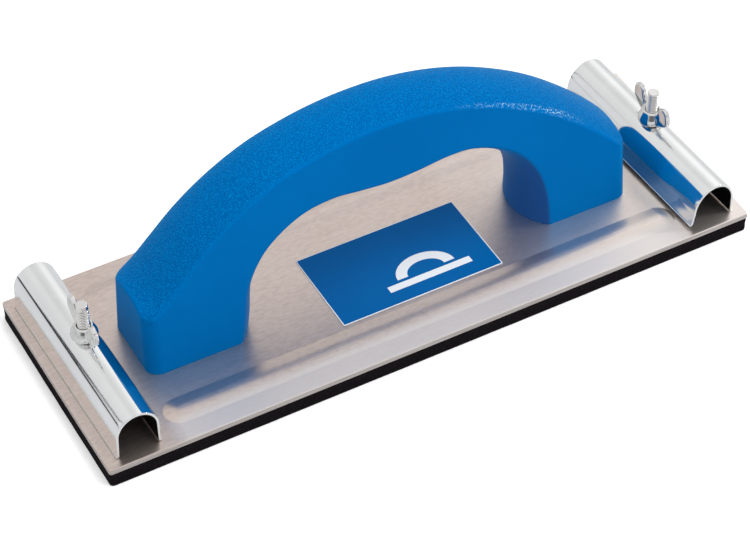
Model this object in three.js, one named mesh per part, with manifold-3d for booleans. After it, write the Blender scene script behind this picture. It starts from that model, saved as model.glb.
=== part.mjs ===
// Hand sander for plaster and filler: an aluminium sole plate with a foam backing pad,
// a bow handle screwed on from below, and a sprung clamp with a wing nut at each end that
// grips a strip of abrasive sheet.
//
// Frame: millimetres, +X along the plate, +Y across it, +Z up. The origin is the centre of
// the backing pad's underside, so the tool stands on z = 0.
import * as THREE from "three";
import { mergeVertices } from "three/addons/utils/BufferGeometryUtils.js";
import Module from "manifold-3d";

const wasm = await Module();
wasm.setup();

// ---------------------------------------------------------------- driving dimensions
const LENGTH = 230; // plate and pad, X
const WIDTH = 80; // plate and pad, Y
const PAD_T = 5.5; // foam thickness
const PLATE_T = 2.0; // sheet thickness
const TOP = PAD_T + PLATE_T; // the plate's upper face
const BOND = 0.05; // gap kept between faces that touch and don't move
const REST = 0.3; // gap kept between faces that part when a clamp is loosened

// stiffening ribs pressed up out of the plate: y of the middle, x of the two ends
const RIBS = [
  { y: -28, x0: -91.2, x1: 93.0 },
  { y: 28, x0: -91.6, x1: 90.8 },
];
const RIB_WIDTH = 10.5;
const RIB_H = 1.2;

const HANDLE_Y = 1.1; // the handle sits a little behind the plate's centre line
const HANDLE_TURN = -0.49; // and is screwed on very slightly askew, degrees
const FOOT_L = -87.9; // outer end faces of the handle, at the plate
const FOOT_R = 85.3;
const LEAN_L = 0.01; // how much they lean inwards per mm of height
const LEAN_R = 0.05;
const FOOT_CORNER = 4.6; // plan radius of the outer corners
const HALF_W0 = 14.0; // handle's half width at the plate
const DRAFT = 0.054; // and how much narrower it gets per mm of height
const CROWN_R = 15.5; // section radius of the textured top
const CROWN_H = 3.2; // rise of the crown over its edge, square to it
const NOSE_R = 17.8; // section radius of the inner side of the bow

const SCREW_X = [-79, -62, 62, 75.5]; // handle screws, on the centre line
const SCREW_R = 1.75;
const SCREW_L = 15;
const SCREW_HEAD_R = 3.6;
const SCREW_HEAD_H = 2.2;

const STUD_R = 2.0; // M4
const STUD_LX = -103.5;
const STUD_RX = 101.5;
const STUD_LTOP = 29.5; // above the plate
const STUD_RTOP = 27.5;
const STUD_HEAD_R = 4.0;
const STUD_HEAD_H = 2.6;

const CLAMP_LEN = 72.6; // clamp bars, along Y
const CLAMP_T = 0.9; // sheet steel
const CLAMP_HOLE_R = 2.6;
// half width at the foot, half width where the arch starts, height of that, height of the
// top, how far the bar's middle is from its stud in X and Y, and its twist about Z
const CLAMP_L = { inward: 1, innerFoot: 7.35, innerRest: 0.3, foot: 7.35, arch: 7.15, spring: 8.0, top: 15.6, dx: -0.6, dy: -0.15, turn: 0.9 };
const CLAMP_R = { inward: -1, innerFoot: 8.6, innerRest: 1.3, foot: 8.0, arch: 7.8, spring: 6.0, top: 14.95, dx: -0.4, dy: -0.55, turn: 2.3 };

const NUT_R = 4.4; // wing nut's body
const NUT_H = 5.0;
const NUT_BORE_R = 2.2;
const WING_SPAN = 20.4;
const WING_T = 1.8;
const WING_TOP = 10.2;
const NUT_L_TURN = 0; // wings point along Y at 0
const NUT_R_TURN = -2;

const HEX_AF = 7; // lock nut on the stud, across flats
const HEX_H = 3.2;

const SPRING_R = 2.85; // mean radius
const SPRING_WIRE_R = 0.35;
const SPRING_COILS = 5.5;

const LABEL = { x0: -25.5, x1: 32.5, y0: -21.3, y1: 11.3, t: 0.2 };

// ---------------------------------------------------------------- helpers
const rad = THREE.MathUtils.degToRad;
const screwXY = (x) => [x * Math.cos(rad(HANDLE_TURN)), HANDLE_Y + x * Math.sin(rad(HANDLE_TURN))];

// A closed solid from loops of the same length, each an array of [x, y, z].
function loft(loops) {
  const m = loops[0].length;
  const pos = loops.flat(2);
  const idx = [];
  for (let k = 0; k + 1 < loops.length; k++)
    for (let i = 0; i < m; i++) {
      const a = k * m + i,
        b = k * m + ((i + 1) % m),
        c = a + m,
        d = b + m;
      idx.push(a, b, d, a, d, c);
    }
  for (const k of [0, loops.length - 1]) {
    const flat = loops[k].map((p) => new THREE.Vector2(p[0], p[1]));
    const ccw = THREE.ShapeUtils.area(flat) > 0;
    const order = flat.map((_, i) => (ccw ? i : m - 1 - i));
    const tris = THREE.ShapeUtils.triangulateShape(
      order.map((i) => flat[i]),
      [],
    );
    for (const t of tris) {
      const q = t.map((i) => order[i] + k * m);
      // the first cap faces against the loft's direction, the last along it
      idx.push(...((k === 0) === ccw ? [q[0], q[2], q[1]] : q));
    }
  }
  const g = new THREE.BufferGeometry();
  g.setAttribute("position", new THREE.Float32BufferAttribute(pos, 3));
  g.setIndex(idx);
  return g;
}

function toSolid(geometry) {
  let g = geometry.clone();
  g.deleteAttribute("normal");
  g.deleteAttribute("uv");
  g = mergeVertices(g, 1e-4);
  const build = (flip) => {
    const t = new Uint32Array(g.index.array);
    if (flip)
      for (let i = 0; i < t.length; i += 3) [t[i + 1], t[i + 2]] = [t[i + 2], t[i + 1]];
    return new wasm.Manifold(
      new wasm.Mesh({
        numProp: 3,
        vertProperties: new Float32Array(g.attributes.position.array),
        triVerts: t,
      }),
    );
  };
  const s = build(false);
  return s.volume() < 0 ? build(true) : s;
}

function toGeometry(solid) {
  const m = solid.getMesh();
  const g = new THREE.BufferGeometry();
  g.setAttribute("position", new THREE.BufferAttribute(new Float32Array(m.vertProperties), 3));
  g.setIndex(new THREE.BufferAttribute(new Uint32Array(m.triVerts), 1));
  g.computeVertexNormals();
  return g;
}

const cylinder = (r, z0, z1, x, y, seg = 20) =>
  new THREE.CylinderGeometry(r, r, z1 - z0, seg).rotateX(Math.PI / 2).translate(x, y, (z0 + z1) / 2);

// A rectangle with rounded corners, counter-clockwise, at height z.
function roundRect(hx, hy, r, z, seg = 4, cx = 0, cy = 0) {
  const out = [];
  const c = [
    [hx - r, hy - r, 0],
    [-hx + r, hy - r, 90],
    [-hx + r, -hy + r, 180],
    [hx - r, -hy + r, 270],
  ];
  for (const [x, y, a0] of c)
    for (let i = 0; i <= seg; i++) {
      const a = rad(a0 + (90 * i) / seg);
      out.push([cx + x + r * Math.cos(a), cy + y + r * Math.sin(a), z]);
    }
  return out;
}

// A smooth curve through points of any two numbers, one value per knot.
function spline(knots, values) {
  const n = knots.length;
  const m = values.map((_, i) => {
    if (i === 0) return (values[1] - values[0]) / (knots[1] - knots[0]);
    if (i === n - 1) return (values[n - 1] - values[n - 2]) / (knots[n - 1] - knots[n - 2]);
    const h0 = knots[i] - knots[i - 1],
      h1 = knots[i + 1] - knots[i];
    const d0 = (values[i] - values[i - 1]) / h0,
      d1 = (values[i + 1] - values[i]) / h1;
    return (d0 * h1 + d1 * h0) / (h0 + h1);
  });
  return (x) => {
    let i = 0;
    while (i < n - 2 && x > knots[i + 1]) i++;
    const h = knots[i + 1] - knots[i],
      t = (x - knots[i]) / h;
    const t2 = t * t,
      t3 = t2 * t;
    return (
      values[i] * (2 * t3 - 3 * t2 + 1) +
      m[i] * h * (t3 - 2 * t2 + t) +
      values[i + 1] * (-2 * t3 + 3 * t2) +
      m[i + 1] * h * (t3 - t2)
    );
  };
}

const group = new THREE.Group();
function add(name, geometry, color, roughness, metalness, parent = group) {
  const mesh = new THREE.Mesh(
    geometry,
    new THREE.MeshStandardMaterial({ color, roughness, metalness }),
  );
  mesh.name = name;
  parent.add(mesh);
  return mesh;
}

// ---------------------------------------------------------------- backing pad
// Closed-cell foam, glued under the plate, with pockets over the screw heads.
{
  let pad = toSolid(
    loft([
      roundRect(LENGTH / 2 - 0.2, WIDTH / 2 - 0.2, 1.0, 0, 4),
      roundRect(LENGTH / 2, WIDTH / 2, 1.0, 0.3, 4),
      roundRect(LENGTH / 2, WIDTH / 2, 1.0, PAD_T - BOND, 4),
    ]),
  );
  for (const x of SCREW_X)
    pad = pad.subtract(
      toSolid(cylinder(SCREW_HEAD_R + 0.5, PAD_T - SCREW_HEAD_H - 0.6, PAD_T + 1, ...screwXY(x))),
    );
  for (const x of [STUD_LX, STUD_RX])
    pad = pad.subtract(
      toSolid(cylinder(STUD_HEAD_R + 0.5, PAD_T - STUD_HEAD_H - 0.6, PAD_T + 1, x, 0)),
    );
  add("backing_pad", toGeometry(pad), 0x191518, 0.85, 0);
}

// ---------------------------------------------------------------- sole plate
// A stadium of half width w, its ends drawn in from the rib's ends.
function stadium(w, shrink, z, rib) {
  return roundRect((rib.x1 - rib.x0) / 2 - shrink, w, w * 0.999, z, 7, (rib.x0 + rib.x1) / 2, rib.y);
}
// The rib as a crowned bead: half widths from the plate up.
function ribSolid(rib) {
  const h = RIB_H;
  const steps = [
    [1.0, 0.0],
    [0.9, 0.32],
    [0.76, 0.62],
    [0.58, 0.84],
    [0.36, 0.96],
    [0.14, 1.0],
  ];
  const hw = RIB_WIDTH / 2;
  const loops = [stadium(hw, 0, TOP - 1.2, rib)];
  for (const [f, g] of steps) loops.push(stadium(hw * f, hw * (1 - f), TOP + h * g, rib));
  return toSolid(loft(loops));
}
{
  let plate = toSolid(
    loft([
      roundRect(LENGTH / 2, WIDTH / 2, 0.8, PAD_T, 4),
      roundRect(LENGTH / 2, WIDTH / 2, 0.8, TOP - 0.6, 4),
      roundRect(LENGTH / 2 - 0.18, WIDTH / 2 - 0.18, 0.62, TOP - 0.18, 4),
      roundRect(LENGTH / 2 - 0.6, WIDTH / 2 - 0.6, 0.2, TOP, 4),
    ]),
  );
  for (const rib of RIBS) {
    plate = plate.add(ribSolid(rib));
    plate = plate.subtract(
      toSolid(
        loft([
          stadium(RIB_WIDTH / 2 - 0.6, 0.6, PAD_T - 1, rib),
          stadium(RIB_WIDTH / 2 - 0.9, 0.9, PAD_T + 0.1, rib),
          stadium(RIB_WIDTH / 2 - 1.6, 1.6, PAD_T + 0.8, rib),
          stadium(RIB_WIDTH / 2 - 3.0, 3.0, PAD_T + 1.3, rib),
        ]),
      ),
    );
  }
  for (const x of SCREW_X)
    plate = plate.subtract(toSolid(cylinder(SCREW_R + 0.35, 0, TOP + 4, ...screwXY(x))));
  for (const x of [STUD_LX, STUD_RX])
    plate = plate.subtract(toSolid(cylinder(STUD_R + 0.2, 0, TOP + 4, x, 0)));
  add("base_plate", toGeometry(plate), 0xc3b5ab, 0.35, 1);
}

// ---------------------------------------------------------------- label
{
  const g = new THREE.BoxGeometry(LABEL.x1 - LABEL.x0, LABEL.y1 - LABEL.y0, LABEL.t);
  g.translate((LABEL.x0 + LABEL.x1) / 2, (LABEL.y0 + LABEL.y1) / 2, TOP + BOND + LABEL.t / 2);
  add("label", g, 0x1566b4, 0.4, 0);
}

// ---------------------------------------------------------------- bow handle
// Heights here are above the plate. The crease is the edge between the crowned top and the
// flat sides; the opening is the lower edge of the sides, walked from the left foot to the right.
const creaseX = [-87.65, -81.7, -74.5, -67.2, -59.2, -50.8, -42.3, -31.3, -18.3, -6.4, 5.5, 17.5, 30.4, 44.6, 57.1, 66.8, 77.0, 82.4, 84.8];
const creaseZ = [20.4, 24.9, 32.7, 40.8, 47.9, 53.7, 58.2, 62.0, 64.7, 65.6, 65.1, 63.0, 59.0, 52.3, 44.5, 36.8, 27.3, 21.5, 18.8];
const crease = spline(creaseX, creaseZ);
const creaseSlope = (x) => (crease(x + 0.5) - crease(x - 0.5)) / 1.0;
const opening = [
  [-56.5, 0.0], [-55.9, 2.9], [-55.1, 7.9], [-54.4, 14.9], [-53.4, 21.0], [-51.3, 26.5],
  [-46.8, 33.7], [-40.7, 39.1], [-33.0, 43.2], [-22.5, 44.8], [-13.0, 43.8], [-4.0, 43.0],
  [5.9, 43.4], [18.2, 44.7], [24.8, 44.4], [29.6, 43.0], [35.9, 40.1], [42.3, 35.5],
  [47.5, 29.3], [51.4, 21.8], [53.5, 14.9], [54.8, 6.2], [55.2, 0.0],
];
const halfWidth = (z) => HALF_W0 - DRAFT * z;

function handleGeometry() {
  const cum = [0];
  for (let i = 1; i < opening.length; i++)
    cum.push(cum[i - 1] + Math.hypot(opening[i][0] - opening[i - 1][0], opening[i][1] - opening[i - 1][1]));
  const ox = spline(cum, opening.map((p) => p[0]));
  const oz = spline(cum, opening.map((p) => p[1]));
  const total = cum[cum.length - 1];
  // arc length at which the left and right branches reach a height
  const reach = (z, right) => {
    let a = right ? total * 0.75 : 0,
      b = right ? total : total * 0.25;
    for (let i = 0; i < 40; i++) {
      const c = (a + b) / 2;
      if (oz(c) < z === !right) a = c;
      else b = c;
    }
    return (a + b) / 2;
  };
  const inward = (s) => {
    const e = 0.4;
    const a = Math.max(0, s - e),
      b = Math.min(total, s + e);
    let tx = ox(b) - ox(a),
      tz = oz(b) - oz(a);
    const l = Math.hypot(tx, tz);
    return [tz / l, -tx / l]; // to the right of the walking direction, into the opening
  };
  const cap = (x, y, z) => {
    const w = halfWidth(z);
    const v = Math.min(Math.abs(y), w);
    const edge = Math.sqrt(CROWN_R ** 2 - w * w);
    const h = (Math.sqrt(CROWN_R ** 2 - v * v) - edge) / (CROWN_R - edge);
    return CROWN_H * Math.sqrt(1 + creaseSlope(x) ** 2) * h;
  };
  const ARC = 4,
    FLAT = 6,
    SIDE = 3,
    NOSE = 8,
    CROWN = 34;
  // plan of the outer end of a foot: y against its half width, and how far x is drawn in
  const plan = (w) => {
    const out = [];
    for (let i = 0; i <= ARC; i++) {
      const a = rad(90 * (1 - i / ARC));
      out.push([-(w - FOOT_CORNER) - FOOT_CORNER * Math.sin(a), FOOT_CORNER * (1 - Math.cos(a))]);
    }
    for (let i = 1; i < FLAT; i++) out.push([(w - FOOT_CORNER) * (-1 + (2 * i) / FLAT), 0]);
    for (let i = 0; i <= ARC; i++) {
      const a = rad(90 * (i / ARC));
      out.push([w - FOOT_CORNER + FOOT_CORNER * Math.sin(a), FOOT_CORNER * (1 - Math.cos(a))]);
    }
    return out;
  };
  const loop = (outer, s, level) => {
    // outer: points from -y to +y; then the +y side, the nose from +y to -y, and the -y side
    const pts = outer.map((p) => [...p]);
    const ex = ox(s),
      ez = level ?? oz(s);
    const w = halfWidth(ez);
    const n = level === 0 ? [Math.sign(-ex), 0] : inward(s);
    const last = outer[outer.length - 1],
      first = outer[0];
    for (let i = 1; i < SIDE; i++) {
      const f = i / SIDE;
      const z = last[2] + (ez - last[2]) * f;
      pts.push([last[0] + (ex - last[0]) * f, halfWidth(z), z]);
    }
    for (let i = 0; i <= NOSE; i++) {
      const a = -1 + (2 * i) / NOSE;
      const y = -w * a;
      const sag = Math.sqrt(NOSE_R ** 2 - y * y) - Math.sqrt(NOSE_R ** 2 - w * w);
      pts.push([ex + n[0] * sag, y, ez + n[1] * sag]);
    }
    for (let i = SIDE - 1; i > 0; i--) {
      const f = i / SIDE;
      const z = first[2] + (ez - first[2]) * f;
      pts.push([first[0] + (ex - first[0]) * f, -halfWidth(z), z]);
    }
    return pts.map(([x, y, z]) => [x, y, z + TOP + BOND]);
  };
  const loops = [];
  const FEET = [0, 6, 12, 17];
  for (const z of FEET) {
    const outer = plan(halfWidth(z)).map(([y, dx]) => [FOOT_L + LEAN_L * z + dx, y, z]);
    loops.push(loop(outer, reach(Math.max(z, 1e-6), false), z === 0 ? 0 : undefined));
  }
  const s0 = reach(21, false),
    s1 = reach(21, true);
  const base = plan(halfWidth(24));
  const w24 = halfWidth(24);
  for (let k = 0; k <= CROWN; k++) {
    const u = k / CROWN;
    const outer = base.map(([y, dx]) => {
      const xl = FOOT_L + LEAN_L * 22 + dx,
        xr = FOOT_R - LEAN_R * 22 - dx;
      const x = xl + (xr - xl) * u;
      const z = crease(x);
      const yy = (y / w24) * halfWidth(z);
      return [x, yy, z + cap(x, yy, z)];
    });
    loops.push(loop(outer, s0 + (s1 - s0) * u));
  }
  for (const z of [...FEET].reverse()) {
    const outer = plan(halfWidth(z)).map(([y, dx]) => [FOOT_R - LEAN_R * z - dx, y, z]);
    loops.push(loop(outer, reach(Math.max(z, 1e-6), true), z === 0 ? 0 : undefined));
  }
  return loft(loops);
}
{
  let handle = toSolid(handleGeometry());
  for (const x of SCREW_X)
    handle = handle.subtract(toSolid(cylinder(SCREW_R + 0.2, TOP - 1, TOP + SCREW_L - 1, x, 0)));
  const mesh = add("handle", toGeometry(handle), 0x0567b4, 0.45, 0);
  mesh.position.y = HANDLE_Y;
  mesh.rotation.z = rad(HANDLE_TURN);
}

// ---------------------------------------------------------------- handle screws
// Pan-head screws, up through the plate into the feet.
const screwNames = ["left_outer", "left_inner", "right_inner", "right_outer"];
SCREW_X.forEach((x, i) => {
  const z0 = PAD_T - BOND - SCREW_HEAD_H;
  const v = (r, z) => new THREE.Vector2(r, z);
  const g = new THREE.LatheGeometry(
    [
      v(0, z0),
      v(SCREW_HEAD_R * 0.7, z0),
      v(SCREW_HEAD_R, z0 + 0.9),
      v(SCREW_HEAD_R, z0 + SCREW_HEAD_H),
      v(SCREW_R, z0 + SCREW_HEAD_H),
      v(SCREW_R, z0 + SCREW_L - 2.2),
      v(0.3, z0 + SCREW_L),
      v(0, z0 + SCREW_L),
    ],
    16,
  ).rotateX(Math.PI / 2);
  g.translate(...screwXY(x), 0);
  add(`handle_screw_${screwNames[i]}`, g, 0xb8b8b8, 0.3, 1);
});

// ---------------------------------------------------------------- end clamps
// The bar's section: an inverted U, as offsets from its middle plane (x) and the plate (z).
// The leg nearer the handle is a little shorter than the one that pinches the sheet.
function clampSection(c) {
  const side = (t, foot, rest) => {
    const pts = [];
    const rx = c.arch - t,
      rz = c.top - t - c.spring;
    pts.push([foot - t, rest]);
    for (let i = 0; i <= 8; i++) {
      const a = rad((90 * i) / 8);
      pts.push([rx * Math.cos(a), c.spring + rz * Math.sin(a)]);
    }
    return pts;
  };
  const near = (t) => side(t, c.innerFoot, c.innerRest);
  const far = (t) => side(t, c.foot, REST);
  const mirror = (pts) => pts.slice(0, -1).reverse().map(([x, z]) => [-x, z]);
  const loop = [...near(0), ...mirror(far(0)), ...[...near(CLAMP_T), ...mirror(far(CLAMP_T))].reverse()];
  return c.inward > 0 ? loop : loop.map(([x, z]) => [-x, z]).reverse();
}
function wingNutGeometry() {
  const v = (r, z) => new THREE.Vector2(r, z);
  let body = toSolid(
    new THREE.LatheGeometry(
      [
        v(NUT_BORE_R, 0),
        v(NUT_R - 0.9, 0),
        v(NUT_R - 0.1, 0.5),
        v(NUT_R, 1.2),
        v(NUT_R - 0.3, 2.4),
        v(NUT_R - 0.9, 3.6),
        v(NUT_R - 1.5, NUT_H - 0.2),
        v(NUT_BORE_R + 0.3, NUT_H),
        v(NUT_BORE_R, NUT_H - 0.3),
        v(NUT_BORE_R, 0),
      ],
      24,
    ).rotateX(Math.PI / 2),
  );
  const half = WING_SPAN / 2;
  for (const s of [-1, 1]) {
    const shape = new THREE.Shape();
    shape.moveTo(2.6, 0.9);
    shape.lineTo(4.3, 0.9);
    shape.quadraticCurveTo(7.4, 1.9, half - 0.4, 4.6);
    shape.quadraticCurveTo(half + 0.5, 6.4, half - 0.9, WING_TOP - 0.8);
    shape.quadraticCurveTo(half - 3.1, WING_TOP + 0.8, half - 5.1, WING_TOP - 1.2);
    shape.quadraticCurveTo(4.4, 5.8, 2.9, NUT_H - 0.5);
    shape.closePath();
    const wing = new THREE.ExtrudeGeometry(shape, {
      depth: WING_T,
      bevelEnabled: false,
      curveSegments: 4,
    });
    wing.translate(0, 0, -WING_T / 2).rotateX(Math.PI / 2).rotateZ(s * Math.PI / 2);
    body = body.add(toSolid(wing));
  }
  // the thread's bore stays clear through the wings' roots
  body = body.subtract(toSolid(cylinder(NUT_BORE_R, -1, NUT_H + 8, 0, 0, 24)));
  return toGeometry(body);
}
class Helix extends THREE.Curve {
  constructor(r, z0, z1, coils) {
    super();
    Object.assign(this, { r, z0, z1, coils });
  }
  getPoint(t, out = new THREE.Vector3()) {
    const a = 2 * Math.PI * this.coils * t;
    return out.set(this.r * Math.cos(a), this.r * Math.sin(a), this.z0 + (this.z1 - this.z0) * t);
  }
}
function clampEnd(side, x, c, studTop, nutTurn) {
  const bolt = new THREE.Group();
  bolt.position.set(x, 0, 0);
  group.add(bolt);
  const v = (r, z) => new THREE.Vector2(r, z);

  // stud: a pan-head machine screw, head in the pad's pocket
  const z0 = PAD_T - BOND - STUD_HEAD_H;
  const top = TOP + studTop;
  add(
    `clamp_stud_${side}`,
    new THREE.LatheGeometry(
      [
        v(0, z0),
        v(STUD_HEAD_R * 0.72, z0),
        v(STUD_HEAD_R, z0 + 1.0),
        v(STUD_HEAD_R, z0 + STUD_HEAD_H),
        v(STUD_R, z0 + STUD_HEAD_H),
        v(STUD_R, top - 0.6),
        v(STUD_R - 0.6, top),
        v(0, top),
      ],
      20,
    ).rotateX(Math.PI / 2),
    0xc9c9c9, 0.25, 1, bolt,
  );

  // lock nut that holds the stud upright on the plate
  const hex = new THREE.Shape();
  for (let i = 0; i < 6; i++) {
    const a = rad(60 * i),
      r = HEX_AF / 2 / Math.cos(Math.PI / 6);
    i ? hex.lineTo(r * Math.cos(a), r * Math.sin(a)) : hex.moveTo(r * Math.cos(a), r * Math.sin(a));
  }
  hex.closePath();
  const hole = new THREE.Path();
  hole.absarc(0, 0, STUD_R + 0.15, 0, 2 * Math.PI, true);
  hex.holes.push(hole);
  const nut = new THREE.ExtrudeGeometry(hex, { depth: HEX_H, bevelEnabled: false, curveSegments: 10 });
  nut.translate(0, 0, TOP + BOND);
  add(`stud_nut_${side}`, nut, 0xc9c9c9, 0.3, 1, bolt);

  // compression spring between the lock nut and the inside of the bar
  const springR = SPRING_R + SPRING_WIRE_R + 0.15;
  const rx = c.arch - CLAMP_T,
    rz = c.top - CLAMP_T - c.spring;
  const roof = TOP + c.spring + rz * Math.sqrt(1 - (springR / rx) ** 2);
  const low = TOP + BOND + HEX_H + SPRING_WIRE_R + 0.35,
    high = roof - SPRING_WIRE_R - 0.35;
  const wire = new THREE.Shape();
  wire.absarc(0, 0, SPRING_WIRE_R, 0, 2 * Math.PI, false);
  add(
    `clamp_spring_${side}`,
    new THREE.ExtrudeGeometry(wire, {
      steps: Math.round(SPRING_COILS * 14),
      curveSegments: 3,
      bevelEnabled: false,
      extrudePath: new Helix(SPRING_R, low, high, SPRING_COILS),
    }),
    0xa8a8a8, 0.3, 1, bolt,
  );

  // clamp bar
  const section = new THREE.Shape(clampSection(c).map(([px, pz]) => new THREE.Vector2(px, pz)));
  const barGeometry = new THREE.ExtrudeGeometry(section, { depth: CLAMP_LEN, bevelEnabled: false });
  barGeometry
    .rotateX(Math.PI / 2)
    .translate(0, CLAMP_LEN / 2, TOP)
    .rotateZ(rad(c.turn))
    .translate(c.dx, c.dy, 0);
  const bar = toSolid(barGeometry).subtract(
    toSolid(cylinder(CLAMP_HOLE_R, TOP + c.spring + 2, TOP + c.top + 2, 0, 0, 24)),
  );
  add(`clamp_bar_${side}`, toGeometry(bar), 0xd8dadb, 0.12, 1, bolt);

  // wing nut
  const wing = add(`wing_nut_${side}`, wingNutGeometry(), 0xd5d5d3, 0.18, 1, bolt);
  wing.position.z = TOP + c.top + REST;
  wing.rotation.z = rad(nutTurn);
}
clampEnd("left", STUD_LX, CLAMP_L, STUD_LTOP, NUT_L_TURN);
clampEnd("right", STUD_RX, CLAMP_R, STUD_RTOP, NUT_R_TURN);

export default group;
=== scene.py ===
import math

import bmesh
import bpy
import numpy as np
from mathutils import Matrix, Vector
from mathutils.geometry import tessellate_polygon


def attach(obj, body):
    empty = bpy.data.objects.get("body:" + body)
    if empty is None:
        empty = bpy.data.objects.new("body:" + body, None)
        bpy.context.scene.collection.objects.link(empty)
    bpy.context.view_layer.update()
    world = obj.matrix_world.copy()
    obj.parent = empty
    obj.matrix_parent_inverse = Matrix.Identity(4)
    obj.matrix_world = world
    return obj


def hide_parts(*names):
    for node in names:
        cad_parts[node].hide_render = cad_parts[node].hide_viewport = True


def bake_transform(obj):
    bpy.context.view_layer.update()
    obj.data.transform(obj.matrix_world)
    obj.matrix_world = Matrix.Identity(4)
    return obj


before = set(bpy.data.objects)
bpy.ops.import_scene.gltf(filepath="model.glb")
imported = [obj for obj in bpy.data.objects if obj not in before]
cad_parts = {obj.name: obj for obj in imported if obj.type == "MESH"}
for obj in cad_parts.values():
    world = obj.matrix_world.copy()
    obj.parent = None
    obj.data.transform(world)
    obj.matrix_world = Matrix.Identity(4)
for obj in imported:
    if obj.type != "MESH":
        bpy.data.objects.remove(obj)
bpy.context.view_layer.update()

MM = 0.001

# ------------------------------------------------------------------ sizes, in mm, as in the CAD source
LENGTH, WIDTH, PAD_T, PLATE_T = 230.0, 80.0, 5.5, 2.0
TOP = PAD_T + PLATE_T
BOND, REST = 0.05, 0.3
RIBS = [(-28.0, -91.2, 93.0), (28.0, -91.6, 90.8)]
RIB_WIDTH, RIB_H = 10.5, 1.2
HANDLE_Y, HANDLE_TURN = 1.1, -0.49
FOOT_L, FOOT_R, LEAN_L, LEAN_R, FOOT_CORNER = -87.9, 85.3, 0.01, 0.05, 4.6
HALF_W0, DRAFT, CROWN_R, CROWN_H, NOSE_R = 14.0, 0.054, 15.5, 3.2, 17.8
SCREW_X = [-79.0, -62.0, 62.0, 75.5]
SCREW_R = 1.75
STUD_R, STUD_HEAD_R, STUD_HEAD_H, PITCH = 2.0, 4.0, 2.6, 0.7
CLAMP_LEN, CLAMP_T, CLAMP_HOLE_R = 72.6, 0.9, 2.6
CLAMPS = {
    "left": dict(inward=1, inner_foot=7.35, inner_rest=0.3, x=-103.5, stud=29.5, foot=7.35, arch=7.15, spring=8.0, top=15.6, dx=-0.6, dy=-0.15, turn=0.9, nut=0.0, blank=1.7),
    "right": dict(inward=-1, inner_foot=8.6, inner_rest=1.3, x=101.5, stud=27.5, foot=8.0, arch=7.8, spring=6.0, top=14.95, dx=-0.4, dy=-0.55, turn=2.3, nut=-2.0, blank=0.2),
}
NUT_R, NUT_H, NUT_BORE_R, WING_SPAN, WING_T, WING_TOP = 4.4, 5.0, 2.2, 20.4, 1.8, 10.2
HEX_AF, HEX_H = 7.0, 3.2
SPRING_R, SPRING_WIRE_R, SPRING_COILS = 2.85, 0.35, 5.5
LABEL = (-25.5, 32.5, -21.3, 11.3, 0.2)


def smooth(a, b, x):
    t = min(1.0, max(0.0, (x - a) / (b - a)))
    return t * t * (3 - 2 * t)


# ------------------------------------------------------------------ node materials
def material(name):
    m = bpy.data.materials.new(name)
    m.use_nodes = True
    nt = m.node_tree
    nt.nodes.clear()
    out = nt.nodes.new("ShaderNodeOutputMaterial")
    bsdf = nt.nodes.new("ShaderNodeBsdfPrincipled")
    nt.links.new(bsdf.outputs["BSDF"], out.inputs["Surface"])
    return m, nt, bsdf


def node(nt, kind, inputs=None, **props):
    n = nt.nodes.new(kind)
    for k, v in props.items():
        setattr(n, k, v)
    for k, v in (inputs or {}).items():
        if isinstance(v, bpy.types.NodeSocket):
            nt.links.new(v, n.inputs[k])
        else:
            n.inputs[k].default_value = v
    return n


def coords(nt, scale=(1, 1, 1), rotation=(0, 0, 0)):
    tc = node(nt, "ShaderNodeTexCoord")
    mp = node(nt, "ShaderNodeMapping", {"Vector": tc.outputs["Object"], "Scale": scale, "Rotation": rotation})
    return mp.outputs["Vector"]


def noise(nt, vec, scale, detail=3.0, rough=0.5):
    return node(nt, "ShaderNodeTexNoise", {"Vector": vec, "Scale": scale, "Detail": detail, "Roughness": rough}).outputs["Fac"]


def ramp(nt, fac, stops):
    n = node(nt, "ShaderNodeValToRGB", {"Fac": fac})
    e = n.color_ramp.elements
    while len(e) > 1:
        e.remove(e[-1])
    for i, (p, c) in enumerate(stops):
        s = e[0] if i == 0 else e.new(p)
        s.position = p
        s.color = (*c, 1.0) if len(c) == 3 else c
    return n.outputs["Color"]


def span(nt, fac, lo, hi, a=0.0, b=1.0):
    return node(nt, "ShaderNodeMapRange", {"Value": fac, "From Min": a, "From Max": b, "To Min": lo, "To Max": hi}).outputs["Result"]


def math2(nt, op, a, b):
    return node(nt, "ShaderNodeMath", {0: a, 1: b}, operation=op).outputs[0]


def mix_rgb(nt, fac, a, b):
    n = nt.nodes.new("ShaderNodeMix")
    n.data_type = "RGBA"
    for i, v in ((0, fac), (6, a), (7, b)):
        if isinstance(v, bpy.types.NodeSocket):
            nt.links.new(v, n.inputs[i])
        else:
            n.inputs[i].default_value = v if i == 0 else (*v, 1.0)
    return n.outputs[2]


def bump(nt, height, distance, strength=1.0, normal=None):
    ins = {"Height": height, "Distance": distance, "Strength": strength}
    if normal is not None:
        ins["Normal"] = normal
    return node(nt, "ShaderNodeBump", ins).outputs["Normal"]


def lin(r, g, b):
    return tuple((c / 255 / 12.92) if c <= 10.3 else ((c / 255 + 0.055) / 1.055) ** 2.4 for c in (r, g, b))


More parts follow.
